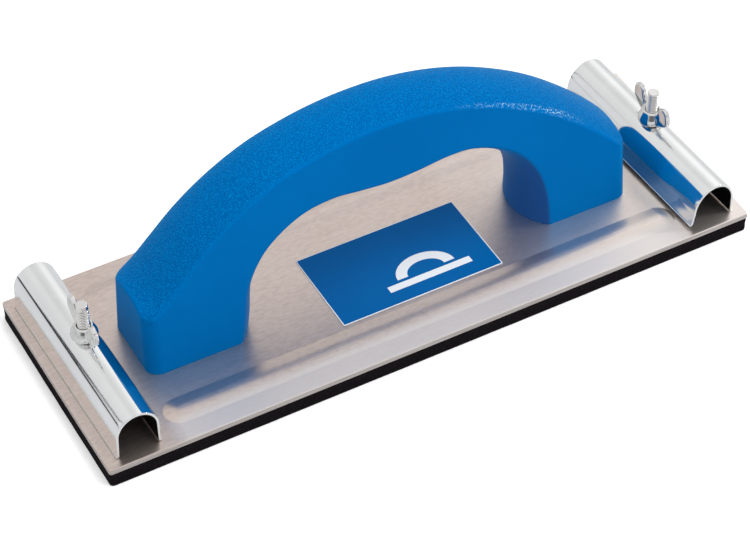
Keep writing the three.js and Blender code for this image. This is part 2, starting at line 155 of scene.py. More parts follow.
def handle_material():
    m, nt, b = material("handle_plastic")
    v = coords(nt)
    grain = node(nt, "ShaderNodeAttribute", attribute_name="grain").outputs["Fac"]
    mottle = noise(nt, v, 240.0, 4.0, 0.6)
    cloud = noise(nt, v, 22.0, 3.0, 0.5)
    col = ramp(nt, cloud, [(0.3, HANDLE_DEEP), (0.7, HANDLE_LIGHT)])
    col = mix_rgb(nt, span(nt, mottle, 0.0, 0.16), col, HANDLE_DARK)
    # pebbled grain of the crown: a bump, with painted shade in its pits and painted light on its peaks
    warp = node(nt, "ShaderNodeTexNoise", {"Vector": v, "Scale": 500.0, "Detail": 2.0}).outputs["Color"]
    add = node(nt, "ShaderNodeVectorMath", {0: v, 1: node(nt, "ShaderNodeVectorMath", {0: warp, "Scale": 0.0006}, operation="SCALE").outputs[0]}, operation="ADD").outputs[0]
    cell = node(nt, "ShaderNodeTexVoronoi", {"Vector": add, "Scale": 1900.0, "Smoothness": 0.4}, feature="SMOOTH_F1").outputs["Distance"]
    fine = noise(nt, v, 2600.0, 2.0, 0.6)
    pebble = math2(nt, "ADD", math2(nt, "MULTIPLY", cell, -1.0), math2(nt, "MULTIPLY", fine, 0.45))
    grained = math2(nt, "MULTIPLY", pebble, grain)
    # painted light: the whole crown is lightened, as a top lit more than the sides
    col = mix_rgb(nt, math2(nt, "MULTIPLY", grain, 0.16), col, (0.0, 0.27, 0.62))
    # painted shade: the pits of the grain are darkened
    pit_shade = math2(nt, "MULTIPLY", span(nt, pebble, 0.52, 0.0, -0.35, -0.05), grain)
    col = mix_rgb(nt, pit_shade, col, (0.0, 0.075, 0.30))
    # painted highlight: the peaks of the grain are lightened
    peak_light = math2(nt, "MULTIPLY", span(nt, pebble, 0.0, 0.6, -0.14, 0.12), grain)
    col = mix_rgb(nt, peak_light, col, (0.0, 0.25, 0.66))
    satin = noise(nt, v, 1500.0, 3.0, 0.6)
    n1 = bump(nt, satin, 0.00001, 0.5)
    n2 = bump(nt, grained, 0.00026, 1.0, n1)
    nt.links.new(n2, b.inputs["Normal"])
    base_rough = span(nt, mottle, 0.36, 0.46)
    nt.links.new(math2(nt, "ADD", base_rough, math2(nt, "MULTIPLY", grain, -0.06)), b.inputs["Roughness"])
    # painted highlight: a band of flecks along the crown's front edge; they get a clear coat and, below, a pale base
    # colour
    fleck = noise(nt, v, 1700.0, 1.0, 0.5)
    sep = node(nt, "ShaderNodeSeparateXYZ", {"Vector": node(nt, "ShaderNodeTexCoord").outputs["Object"]})
    glint_span_x = node(nt, "ShaderNodeMapRange", {"Value": math2(nt, "ABSOLUTE", math2(nt, "SUBTRACT", sep.outputs["X"], 0.043), 0.0), "From Min": 0.010, "From Max": 0.027, "To Min": 1.0, "To Max": 0.0}, interpolation_type="SMOOTHSTEP").outputs["Result"]
    front = span(nt, sep.outputs["Y"], 1.0, 0.0, -0.0097, -0.0086)
    glint_band = math2(nt, "MULTIPLY", math2(nt, "MULTIPLY", glint_span_x, front), grain)
    bright = math2(nt, "MULTIPLY", span(nt, fleck, 0.0, 1.0, 0.56, 0.62), glint_band)
    nt.links.new(bright, b.inputs["Coat Weight"])
    # painted shade: the inner faces of the feet, turned towards each other, are darkened where they lie in shadow
    face = node(nt, "ShaderNodeSeparateXYZ", {"Vector": node(nt, "ShaderNodeNewGeometry").outputs["Normal"]}).outputs["X"]
    inner_face_shade = math2(nt, "MULTIPLY", math2(nt, "MULTIPLY", face, sep.outputs["X"]), -1.0)
    col = mix_rgb(nt, span(nt, inner_face_shade, 0.0, 1.0, 0.010, 0.032), col, (0.020, 0.098, 0.35))
    # painted highlight: pale glint flecks on the grain along the front of the crown, where the glint lamp sparkles
    col = mix_rgb(nt, math2(nt, "MULTIPLY", bright, 0.8), col, (0.42, 0.72, 0.90))
    nt.links.new(col, b.inputs["Base Color"])
    nt.links.new(n2, b.inputs["Coat Normal"])
    b.inputs["Coat Roughness"].default_value = 0.13
    b.inputs["Coat Tint"].default_value = (1.0, 1.0, 1.0, 1.0)
    b.inputs["Sheen Weight"].default_value = 0.19
    b.inputs["Sheen Roughness"].default_value = 0.45
    b.inputs["Sheen Tint"].default_value = (0.0, 0.62, 1.0, 1.0)
    b.inputs["Specular IOR Level"].default_value = 0.03
    b.inputs["Specular Tint"].default_value = (0.0, 0.5, 1.0, 1.0)
    b.inputs["IOR"].default_value = 1.33
    return m


HANDLE_DEEP = (0.0, 0.158, 0.500)
HANDLE_LIGHT = (0.0, 0.174, 0.540)
HANDLE_DARK = (0.0, 0.120, 0.42)


def plate_material():
    m, nt, b = material("plate_aluminium")
    v = coords(nt)
    streak = noise(nt, coords(nt, (9.0, 1.0, 1.0)), 1.0, 2.0)
    streaks = noise(nt, coords(nt, (45.0, 1700.0, 1700.0)), 1.0, 3.0, 0.65)
    broad = noise(nt, coords(nt, (6.0, 210.0, 210.0)), 1.0, 3.0, 0.6)
    speck = noise(nt, coords(nt, (420.0, 1100.0, 1100.0)), 1.0, 3.0, 0.6)
    cloud = noise(nt, v, 28.0, 3.0, 0.55)
    tone = math2(nt, "ADD", math2(nt, "MULTIPLY", streaks, 0.28), math2(nt, "MULTIPLY", broad, 0.10))
    tone = math2(nt, "ADD", tone, math2(nt, "MULTIPLY", speck, 0.62))
    col = ramp(nt, tone, [(0.30, PLATE_DARK), (0.5, PLATE_MID), (0.72, PLATE_LIGHT)])
    col = mix_rgb(nt, span(nt, cloud, 0.0, 0.35, 0.35, 0.75), col, PLATE_CLOUD)
    x = node(nt, "ShaderNodeSeparateXYZ", {"Vector": node(nt, "ShaderNodeTexCoord").outputs["Object"]}).outputs["X"]
    # painted light: the plate is lightened towards its right end, where it reflects a bright window
    col = mix_rgb(nt, span(nt, math2(nt, "ADD", x, span(nt, cloud, -0.03, 0.03)), 0.0, 0.8, 0.03, 0.105), col, (0.98, 0.915, 0.87))
    y = node(nt, "ShaderNodeSeparateXYZ", {"Vector": node(nt, "ShaderNodeTexCoord").outputs["Object"]}).outputs["Y"]
    # painted light: a strip along the front edge is lightened, as a reflection of bright light; the same strip is also
    # made rougher
    border = span(nt, y, 1.0, 0.0, -0.0325, -0.0300)
    border = math2(nt, "MULTIPLY", border, span(nt, math2(nt, "ABSOLUTE", x, 0.0), 1.0, 0.0, 0.088, 0.093))
    col = mix_rgb(nt, math2(nt, "MULTIPLY", border, 0.75), col, (0.97, 0.93, 0.91))
    nt.links.new(col, b.inputs["Base Color"])
    b.inputs["Metallic"].default_value = 1.0
    b.inputs["Anisotropic"].default_value = 0.6
    rough = math2(nt, "ADD", span(nt, streaks, 0.33, 0.37), span(nt, cloud, 0.0, 0.04))
    rough = math2(nt, "ADD", rough, math2(nt, "MULTIPLY", border, 0.22))
    nt.links.new(rough, b.inputs["Roughness"])
    n1 = bump(nt, streaks, 0.0000022, 1.0)
    n2 = bump(nt, speck, 0.000003, 1.0, n1)
    n3 = bump(nt, noise(nt, v, 35.0, 1.0), 0.00012, 0.3, n2)
    nt.links.new(n3, b.inputs["Normal"])
    t = node(nt, "ShaderNodeTangent", direction_type="UV_MAP", uv_map="brushing")
    nt.links.new(t.outputs[0], b.inputs["Tangent"])
    return m


PLATE_DARK = (0.60, 0.50, 0.455)
PLATE_MID = (0.73, 0.615, 0.56)
PLATE_LIGHT = (0.83, 0.72, 0.66)
PLATE_CLOUD = (0.80, 0.70, 0.655)


def cut_edge_material():
    m, nt, b = material("plate_cut_edge")
    lines = noise(nt, coords(nt, (60.0, 60.0, 2600.0)), 1.0, 3.0, 0.6)
    spots = noise(nt, coords(nt), 420.0, 3.0, 0.6)
    nt.links.new(ramp(nt, lines, [(0.3, (0.52, 0.46, 0.43)), (0.7, (0.74, 0.68, 0.645))]), b.inputs["Base Color"])
    b.inputs["Metallic"].default_value = 1.0
    nt.links.new(span(nt, spots, 0.38, 0.55), b.inputs["Roughness"])
    nt.links.new(bump(nt, lines, 0.00001, 0.7), b.inputs["Normal"])
    return m


def plated_material(name, tint, rough, grime_and_dark_reflection=0.08, bumpy=0.0, roots=False, metal=1.0):
    m, nt, b = material(name)
    v = coords(nt)
    smudge = noise(nt, v, 60.0, 4.0, 0.6)
    pits = noise(nt, v, 900.0, 3.0, 0.65)
    hair = noise(nt, coords(nt, (1400.0, 40.0, 1400.0), (0, 0, 0.1)), 1.0, 2.0, 0.6)
    # darkens the smudges and pits: real grime, and on the wing nut also painted dark reflections and shade
    dark = tuple(c * (1 - grime_and_dark_reflection) for c in tint)
    col = ramp(nt, smudge, [(0.35, dark), (0.6, tint)])
    col = mix_rgb(nt, span(nt, pits, 0.0, 0.5, 0.62, 0.8), col, tuple(c * (1 - 2.2 * grime_and_dark_reflection) for c in tint))
    # painted shade: the thread roots are darkened where shade falls in the grooves
    if roots:
        root = node(nt, "ShaderNodeAttribute", attribute_name="grain").outputs["Fac"]
        col = mix_rgb(nt, math2(nt, "MULTIPLY", root, 0.8), col, (0.05, 0.05, 0.055))
    nt.links.new(col, b.inputs["Base Color"])
    b.inputs["Metallic"].default_value = metal
    nt.links.new(math2(nt, "ADD", span(nt, smudge, rough * 0.75, rough * 1.3, 0.3, 0.7), span(nt, hair, 0.0, 0.05, 0.5, 0.9)), b.inputs["Roughness"])
    n1 = bump(nt, hair, 0.0000016, 1.0)
    n2 = bump(nt, noise(nt, v, 130.0, 2.0), 0.00001 + bumpy, 0.6, n1)
    nt.links.new(n2, b.inputs["Normal"])
    return m


def wire_material():
    m, nt, b = material("spring_steel")
    v = coords(nt)
    a = noise(nt, v, 800.0, 3.0, 0.6)
    nt.links.new(ramp(nt, a, [(0.3, (0.30, 0.29, 0.28)), (0.7, (0.52, 0.51, 0.50))]), b.inputs["Base Color"])
    b.inputs["Metallic"].default_value = 1.0
    nt.links.new(span(nt, a, 0.25, 0.45), b.inputs["Roughness"])
    nt.links.new(bump(nt, a, 0.00001, 0.5), b.inputs["Normal"])
    return m


def foam_material():
    m, nt, b = material("pad_foam")
    v = coords(nt)
    cells = node(nt, "ShaderNodeTexVoronoi", {"Vector": v, "Scale": 1900.0}, feature="F1").outputs["Distance"]
    big = noise(nt, v, 320.0, 4.0, 0.65)
    tone = math2(nt, "ADD", math2(nt, "MULTIPLY", cells, 0.5), math2(nt, "MULTIPLY", big, 0.6))
    nt.links.new(ramp(nt, tone, [(0.25, (0.003, 0.0022, 0.003)), (0.6, (0.007, 0.005, 0.0068)), (0.9, (0.018, 0.014, 0.017))]), b.inputs["Base Color"])
    nt.links.new(span(nt, big, 0.78, 0.95), b.inputs["Roughness"])
    b.inputs["Specular IOR Level"].default_value = 0.08
    n1 = bump(nt, cells, 0.00016, 0.8)
    nt.links.new(bump(nt, big, 0.0002, 0.5, n1), b.inputs["Normal"])
    return m


def print_material(name, a, b2, rough):
    m, nt, b = material(name)
    v = coords(nt)
    fade = noise(nt, v, 30.0, 2.0)
    fleck = noise(nt, v, 1200.0, 3.0, 0.6)
    col = ramp(nt, fade, [(0.3, a), (0.7, b2)])
    col = mix_rgb(nt, span(nt, fleck, 0.0, 0.25, 0.55, 0.85), col, tuple(min(1.0, c * 0.8) for c in a))
    nt.links.new(col, b.inputs["Base Color"])
    nt.links.new(span(nt, fleck, rough - 0.05, rough + 0.08), b.inputs["Roughness"])
    nt.links.new(bump(nt, fleck, 0.000004, 0.5), b.inputs["Normal"])
    b.inputs["Specular IOR Level"].default_value = 0.22
    b.inputs["Specular Tint"].default_value = (0.1, 0.5, 1.0, 1.0)
    b.inputs["IOR"].default_value = 1.35
    return m


M_HANDLE = handle_material()
M_PLATE = plate_material()
M_EDGE = cut_edge_material()
M_CHROME = plated_material("bright_plated_steel", (0.90, 0.91, 0.91), 0.07, 0.05)
# the wing nut's heavy smudging is painted dark reflection and shade, beyond its real grime
M_WING = plated_material("wing_nut_plating", (0.84, 0.835, 0.82), 0.06, 0.26, 0.000006)
M_ZINC = plated_material("zinc_steel", (0.86, 0.85, 0.83), 0.16, 0.12)
M_THREAD = plated_material("zinc_thread", (0.90, 0.89, 0.87), 0.14, 0.10, roots=True)
M_SCREW = plated_material("screw_steel", (0.78, 0.78, 0.77), 0.22, 0.15)
# painted shade: the inside of the channel is nearly black, standing in for the shade under the arch
M_INNER_SHADE = plated_material("bar_inside_shade", (0.014, 0.018, 0.018), 0.3, 0.3)
M_CUT = plated_material("sheared_edge", (0.93, 0.93, 0.92), 0.42, 0.06, metal=0.35)
M_WIRE = wire_material()
M_FOAM = foam_material()
M_BLUE = print_material("label_blue", (0.0, 0.096, 0.315), (0.0, 0.112, 0.355), 0.34)
M_WHITE = print_material("label_white", (0.74, 0.76, 0.78), (0.82, 0.84, 0.86), 0.36)


# ------------------------------------------------------------------ mesh helpers
def obj_from_bm(name, bm, mats, shade=True):
    me = bpy.data.meshes.new(name)
    bm.to_mesh(me)
    bm.free()
    for m in mats:
        me.materials.append(m)
    if shade:
        me.polygons.foreach_set("use_smooth", [True] * len(me.polygons))
    o = bpy.data.objects.new(name, me)
    bpy.context.scene.collection.objects.link(o)
    return o


def bake_modifiers(o):
    dg = bpy.context.evaluated_depsgraph_get()
    dg.update()
    me = bpy.data.meshes.new_from_object(o.evaluated_get(dg), preserve_all_data_layers=True, depsgraph=dg)
    me.name = o.name
    o.modifiers.clear()
    old = o.data
    o.data = me
    bpy.data.meshes.remove(old)
    return o


def scaled(v):
    return [c * MM for c in v]


def loops_to_bm(loops, cap_start=True, cap_end=True, closed=False):
    """Quads between loops of equal length; each loop closes on itself."""
    bm = bmesh.new()
    rows = [[bm.verts.new(scaled(p)) for p in loop] for loop in loops]
    m = len(rows[0])
    pairs = list(zip(rows, rows[1:])) + ([(rows[-1], rows[0])] if closed else [])
    for a, b in pairs:
        for i in range(m):
            j = (i + 1) % m
            bm.faces.new((a[i], a[j], b[j], b[i]))
    if not closed:
        if cap_start:
            bm.faces.new(rows[0][::-1])
        if cap_end:
            bm.faces.new(rows[-1])
    bmesh.ops.recalc_face_normals(bm, faces=bm.faces)
    return bm


def lathe(profile, segments, x=0.0, y=0.0):
    """A closed body of revolution about Z; the profile runs from the axis to the axis, or closes on itself."""
    bm = bmesh.new()
    rings = []
    for r, z in profile:
        if r < 1e-6:
            rings.append([bm.verts.new(scaled((x, y, z)))])
        else:
            rings.append([bm.verts.new(scaled((x + r * math.cos(2 * math.pi * i / segments), y + r * math.sin(2 * math.pi * i / segments), z))) for i in range(segments)])
    ring_pairs = list(zip(rings, rings[1:]))
    if len(rings[0]) > 1:
        ring_pairs.append((rings[-1], rings[0]))
    for a, b in ring_pairs:
        for i in range(segments):
            j = (i + 1) % segments
            quad = [a[i % len(a)], a[j % len(a)], b[j % len(b)], b[i % len(b)]]
            quad = [v for k, v in enumerate(quad) if v not in quad[:k]]
            if len(quad) > 2:
                bm.faces.new(quad)
    bmesh.ops.recalc_face_normals(bm, faces=bm.faces)
    return bm


def sharpen(o, degrees):
    o.data.set_sharp_from_angle(angle=math.radians(degrees))
    return o


def spline(knots, values):
    n = len(knots)
    m = []
    for i in range(n):
        if i == 0:
            m.append((values[1] - values[0]) / (knots[1] - knots[0]))
        elif i == n - 1:
            m.append((values[-1] - values[-2]) / (knots[-1] - knots[-2]))
        else:
            h0, h1 = knots[i] - knots[i - 1], knots[i + 1] - knots[i]
            m.append(((values[i] - values[i - 1]) / h0 * h1 + (values[i + 1] - values[i]) / h1 * h0) / (h0 + h1))

    def f(x):
        i = 0
        while i < n - 2 and x > knots[i + 1]:
            i += 1
        h = knots[i + 1] - knots[i]
        t = (x - knots[i]) / h
        t2, t3 = t * t, t * t * t
        return values[i] * (2 * t3 - 3 * t2 + 1) + m[i] * h * (t3 - 2 * t2 + t) + values[i + 1] * (-2 * t3 + 3 * t2) + m[i + 1] * h * (t3 - t2)

    return f


# ------------------------------------------------------------------ bow handle
CREASE_X = [-87.65, -81.7, -74.5, -67.2, -59.2, -50.8, -42.3, -31.3, -18.3, -6.4, 5.5, 17.5, 30.4, 44.6, 57.1, 66.8, 77.0, 82.4, 84.8]
CREASE_Z = [20.4, 24.9, 32.7, 40.8, 47.9, 53.7, 58.2, 62.0, 64.7, 65.6, 65.1, 63.0, 59.0, 52.3, 44.5, 36.8, 27.3, 21.5, 18.8]
OPENING = [(-56.5, 0.0), (-55.9, 2.9), (-55.1, 7.9), (-54.4, 14.9), (-53.4, 21.0), (-51.3, 26.5), (-46.8, 33.7), (-40.7, 39.1), (-33.0, 43.2), (-22.5, 44.8), (-13.0, 43.8), (-4.0, 43.0), (5.9, 43.4), (18.2, 44.7), (24.8, 44.4), (29.6, 43.0), (35.9, 40.1), (42.3, 35.5), (47.5, 29.3), (51.4, 21.8), (53.5, 14.9), (54.8, 6.2), (55.2, 0.0)]
crease = spline(CREASE_X, CREASE_Z)


def half_width(z):
    return HALF_W0 - DRAFT * z


def crown(x, y):
    """Height of the crowned top above the plate."""
    s = crease(x + 0.5) - crease(x - 0.5)
    w = half_width(crease(x))
    v = min(abs(y), w)
    edge = math.sqrt(CROWN_R**2 - w * w)
    h = (math.sqrt(CROWN_R**2 - v * v) - edge) / (CROWN_R - edge)
    return crease(x) + CROWN_H * math.sqrt(1 + s * s) * h


def build_handle():
    bm = bmesh.new()
    lay = bm.edges.layers.float.new("bevel_weight_edge")
    V = lambda p: bm.verts.new(scaled((p[0], p[1], p[2] + TOP + BOND)))
    ARC, FLAT, SIDE = 9, 10, 120
    w24 = half_width(24)

    def plan(w):
        out = []
        for i in range(ARC + 1):
            a = math.radians(90 * (1 - i / ARC))
            out.append((-(w - FOOT_CORNER) - FOOT_CORNER * math.sin(a), FOOT_CORNER * (1 - math.cos(a))))
        out += [((w - FOOT_CORNER) * (-1 + 2 * i / FLAT), 0.0) for i in range(1, FLAT)]
        for i in range(ARC + 1):
            a = math.radians(90 * (i / ARC))
            out.append((w - FOOT_CORNER + FOOT_CORNER * math.sin(a), FOOT_CORNER * (1 - math.cos(a))))
        return out

    def rim(x, ybase):
        z = crease(x)
        y = ybase / w24 * half_width(z)
        return (x, y, crown(x, y))

    xl, xr = FOOT_L + LEAN_L * 22, FOOT_R - LEAN_R * 22
    left = [rim(xl + dx, y) for y, dx in plan(w24)]  # from -y to +y
    right = [rim(xr - dx, y) for y, dx in plan(w24)]
    xa, xb = xl + FOOT_CORNER, xr - FOOT_CORNER
    xs = [xa + (xb - xa) * i / SIDE for i in range(1, SIDE)]
    front = [rim(x, -w24) for x in xs]
    back = [rim(x, w24) for x in xs]
    ring = left[::-1] + front + right + back[::-1]  # +y to -y on the left end, along the front, and round
    nL, nF, nR = len(left), len(front), len(right)
    ringv = [V(p) for p in ring]
    # crown, in rings that close in on the spine
    sl, sr = xl + 10.5, xr - 10.5

    def spine(k):
        x = ring[k][0]
        if k < nL:
            return sl
        if k < nL + nF or k >= nL + nF + nR:
            return sl + (x - xa) / (xb - xa) * (sr - sl)
        return sr

    rows = [ringv]
    for t in (0.16, 0.25, 0.36, 0.48, 0.61, 0.74, 0.87, 1.0):
        row = []
        for k, p in enumerate(ring):
            x = p[0] + (spine(k) - p[0]) * t
            y = p[1] * (1 - t)
            row.append(V((x, y, crown(x, y))))
        rows.append(row)
    n = len(ring)
    for a, b in zip(rows, rows[1:]):
        for i in range(n):
            j = (i + 1) % n
            bm.faces.new((a[i], a[j], b[j], b[i]))
    bmesh.ops.remove_doubles(bm, verts=rows[-1], dist=1e-7)

    leftv = ringv[:nL][::-1]  # -y to +y
    frontv = ringv[nL:nL + nF]
    rightv = ringv[nL + nF:nL + nF + nR]
    backv = ringv[nL + nF + nR:][::-1]  # left to right

    # end walls
    def wall(topv, top, x0, lean, sign):
        prev, cols = topv, []
        n_end = len(top)
        mid = []
        p17 = [(x0 + sign * (lean * 17 + dx), y, 17.0) for y, dx in plan(half_width(17))]
        mid.append([V(tuple(a + (b - a) * 0.55 for a, b in zip(t, q))) for t, q in zip(top, p17)])
        mid.append([V(p) for p in p17])
        for z in (12.0, 6.0, 0.0):
            mid.append([V((x0 + sign * (lean * z + dx), y, z)) for y, dx in plan(half_width(z))])
        for row in mid:
            for i in range(n_end - 1):
                bm.faces.new((prev[i], prev[i + 1], row[i + 1], row[i]))
            prev = row
        return mid

    wl = wall(leftv, left, FOOT_L, LEAN_L, 1)
    wr = wall(rightv, right, FOOT_R, LEAN_R, -1)

    # underside of the bow
    cum = [0.0]
    for p, q in zip(OPENING, OPENING[1:]):
        cum.append(cum[-1] + math.hypot(q[0] - p[0], q[1] - p[1]))
    ox, oz = spline(cum, [p[0] for p in OPENING]), spline(cum, [p[1] for p in OPENING])
    total, NOSE, STEPS = cum[-1], 14, 150
    nose = []
    for k in range(STEPS + 1):
        s = total * k / STEPS
        ex, ez = ox(s), oz(s)
        if k in (0, STEPS):
            nx, nz, ez = (1.0 if k == 0 else -1.0), 0.0, 0.0
        else:
            a, b = max(0.0, s - 0.4), min(total, s + 0.4)
            tx, tz = ox(b) - ox(a), oz(b) - oz(a)
            l = math.hypot(tx, tz)
            nx, nz = tz / l, -tx / l
            f = smooth(0.0, 4.0, min(ez, 4.0))  # square to the plate at the very bottom
            nx, nz = nx * f + (1 - f) * (1.0 if k < STEPS / 2 else -1.0), nz * f
        w = half_width(ez)
        row = []
        for i in range(NOSE + 1):
            u = -1 + 2 * i / NOSE
            u = math.copysign(abs(u) ** 0.9, u)
            y = w * u
            sag = math.sqrt(NOSE_R**2 - y * y) - math.sqrt(NOSE_R**2 - w * w)
            row.append(V((ex + nx * sag, y, ez + nz * sag)))
        nose.append(row)
    for a, b in zip(nose, nose[1:]):
        for i in range(NOSE):
            bm.faces.new((a[i], a[i + 1], b[i + 1], b[i]))
    # flat sides
    for k, crest, we in ((0, frontv, 0), (-1, backv, -1)):
        poly = [leftv[k]] + crest + [rightv[k]] + [r[k] for r in wr] + [r[we] for r in nose[::-1]] + [r[k] for r in wl[::-1]]
        bm.faces.new(poly)
    # the feet's undersides
    bm.faces.new(wl[-1] + nose[0][::-1])
    bm.faces.new(wr[-1] + nose[-1][::-1])
    bmesh.ops.recalc_face_normals(bm, faces=bm.faces)

    def weigh(chain, value, closed=False):
        for a, b in zip(chain, chain[1:] + (chain[:1] if closed else [])):
            e = bm.edges.get((a, b))
            if e is not None:
                e[lay] = value

    weigh(ringv, 0.5, True)
    weigh([r[0] for r in nose], 0.42)
    weigh([r[-1] for r in nose], 0.42)
    for row in (wl[-1], wr[-1], nose[0], nose[-1]):
        for a, b in zip(row, row[1:]):
            e = bm.edges.get((a, b))
            if e is not None:
                e.smooth = False
    for a, b in ((wl[-1][0], nose[0][0]), (wl[-1][-1], nose[0][-1]), (wr[-1][0], nose[-1][0]), (wr[-1][-1], nose[-1][-1])):
        e = bm.edges.get((a, b))
        if e is not None:
            e.smooth = False
    o = obj_from_bm("handle_shell", bm, [M_HANDLE])
    bev = o.modifiers.new("fillets", "BEVEL")
    bev.limit_method, bev.width, bev.segments, bev.offset_type = "WEIGHT", 1.7 * MM, 5, "OFFSET"
    bev.use_clamp_overlap, bev.profile = False, 0.5
    wn = o.modifiers.new("normals", "WEIGHTED_NORMAL")
    wn.mode, wn.weight, wn.keep_sharp = "FACE_AREA", 60, True
    bake_modifiers(o)

    # grain: 1 on the crown, fading out at its edge
    me = o.data
    co = np.array([v.co[:] for v in me.vertices]) / MM
    g = np.zeros(len(co), np.float32)
    for i, (x, y, z) in enumerate(co):
        z -= TOP + BOND
        if not (xl - 0.2 < x < xr + 0.2) or z < 18:
            continue
        xc = min(max(x, xl + 0.01), xr - 0.01)
        w = half_width(crease(xc))
        if abs(z - crown(xc, y)) > 0.9 or z < crease(xc) - 0.6:
            continue
        d = min(w - abs(y), x - xl, xr - x)
        g[i] = smooth(-0.2, 1.1, d)
    at = me.attributes.new("grain", "FLOAT", "POINT")
    at.data.foreach_set("value", g)
    me.transform(Matrix.Translation((0, HANDLE_Y * MM, 0)) @ Matrix.Rotation(math.radians(HANDLE_TURN), 4, "Z"))
    return o


# ------------------------------------------------------------------ sole plate
def stadium(rib, w, z, seg=20):
    y0, x0, x1 = rib
    hw = RIB_WIDTH / 2
    a, b = x0 + hw, x1 - hw
    out = []
    for i in range(seg + 1):
        t = math.radians(-90 + 180 * i / seg)
        out.append((b + w * math.cos(t), y0 + w * math.sin(t), z))
    for i in range(seg + 1):
        t = math.radians(90 + 180 * i / seg)
        out.append((a + w * math.cos(t), y0 + w * math.sin(t), z))
    return out


def round_rect(hx, hy, r, z, seg=6, cx=0.0, cy=0.0, pitch=None):
    out = []
    for sx, sy, a0 in ((1, 1, 0), (-1, 1, 90), (-1, -1, 180), (1, -1, 270)):
        for i in range(seg + 1):
            a = math.radians(a0 + 90 * i / seg)
            out.append((cx + sx * (hx - r) + r * math.cos(a), cy + sy * (hy - r) + r * math.sin(a), z))
    if pitch:
        dense = []
        for p, q in zip(out, out[1:] + out[:1]):
            l = math.dist(p, q)
            k = max(1, round(l / pitch)) if l > pitch * 1.5 else 1
            dense += [tuple(a + (b - a) * i / k for a, b in zip(p, q)) for i in range(k)]
        out = dense
    return out


def flat_with_holes(bm, outer, holes, cache):
    """Triangles of a flat face between vertex rings."""
    rings = [outer] + holes
    tris = tessellate_polygon([[v.co for v in r] for r in rings])
    flat = [v for r in rings for v in r]
    made = []
    for t in tris:
        vs = [flat[i] for i in t]
        if len(set(vs)) == 3:
            try:
                made.append(bm.faces.new(vs))
            except ValueError:
                pass
    return made


def build_plate():
    bm = bmesh.new()
    ring = lambda pts: [bm.verts.new(scaled(p)) for p in pts]

    def strip(a, b, mat=0):
        m = len(a)
        for i in range(m):
            j = (i + 1) % m
            f = bm.faces.new((a[i], a[j], b[j], b[i]))
            f.material_index = mat

    hx, hy = LENGTH / 2, WIDTH / 2
    # outer edge, from the underside up to the top face
    steps = [(0.10, 0.7, PAD_T, 0), (0.0, 0.8, PAD_T + 0.12, 1), (0.0, 0.8, TOP - 0.42, 1)]
    for k in range(1, 7):
        a = math.radians(15 * k)
        steps.append((0.42 * (1 - math.cos(a)), max(0.4, 0.8 - 0.42 * (1 - math.cos(a))), TOP - 0.42 * (1 - math.sin(a)), 0 if k > 2 else 1))
    rings = [ring(round_rect(hx - s, hy - s, r, z)) for s, r, z, _ in steps]
    for k, (a, b) in enumerate(zip(rings, rings[1:])):
        strip(a, b, steps[k + 1][3])
    # ribs
    hw = RIB_WIDTH / 2
    prof = [(1.02, 0.0), (1.0, 0.01)]
    for f in (0.97, 0.93, 0.88, 0.82, 0.75, 0.67, 0.58, 0.48, 0.38, 0.28, 0.18, 0.08):
        prof.append((f, 0.25 * (1 + math.cos(math.pi * f)) + 0.5 * (1 - f * f)))
    top_holes, low_holes = [], []
    for rib in RIBS:
        rr = [ring(stadium(rib, hw * f, TOP + RIB_H * h)) for f, h in prof]
        for a, b in zip(rr, rr[1:]):
            strip(a, b)
        bm.faces.new(rr[-1])
        top_holes.append(rr[0])
        under = [(0.90, 0.0), (0.87, 0.02), (0.83, 0.1), (0.74, 0.4), (0.62, 0.75), (0.5, 1.05), (0.36, 1.25), (0.2, 1.33)]
        uu = [ring(stadium(rib, hw * f, PAD_T + h)) for f, h in under]
        for a, b in zip(uu, uu[1:]):
            strip(a, b)
        bm.faces.new(uu[-1])
        low_holes.append(uu[0])
    # screw and stud holes
    c, s = math.cos(math.radians(HANDLE_TURN)), math.sin(math.radians(HANDLE_TURN))
    holes = [(x * c, HANDLE_Y + x * s, SCREW_R + 0.35) for x in SCREW_X] + [(CLAMPS[k]["x"], 0.0, STUD_R + 0.2) for k in CLAMPS]
    for x, y, r in holes:
        circ = lambda z: ring([(x + r * math.cos(2 * math.pi * i / 28), y + r * math.sin(2 * math.pi * i / 28), z) for i in range(28)])
        a, b = circ(TOP), circ(PAD_T)
        strip(a, b)
        top_holes.append(a)
        low_holes.append(b)
    flat_with_holes(bm, rings[-1], top_holes, None)
    flat_with_holes(bm, rings[0], low_holes, None)
    bmesh.ops.remove_doubles(bm, verts=bm.verts, dist=1e-8)
    bmesh.ops.recalc_face_normals(bm, faces=bm.faces)
    uv = bm.loops.layers.uv.new("brushing")
    for f in bm.faces:
        for l in f.loops:
            l[uv].uv = (l.vert.co.y * 5 + 0.5, l.vert.co.x * 4 + 0.5 + l.vert.co.z * 0.5)
    o = obj_from_bm("sole_plate", bm, [M_PLATE, M_EDGE])
    sharpen(o, 40)
    wn = o.modifiers.new("normals", "WEIGHTED_NORMAL")
    wn.mode, wn.weight, wn.keep_sharp = "FACE_AREA", 80, True
    bake_modifiers(o)
    return o


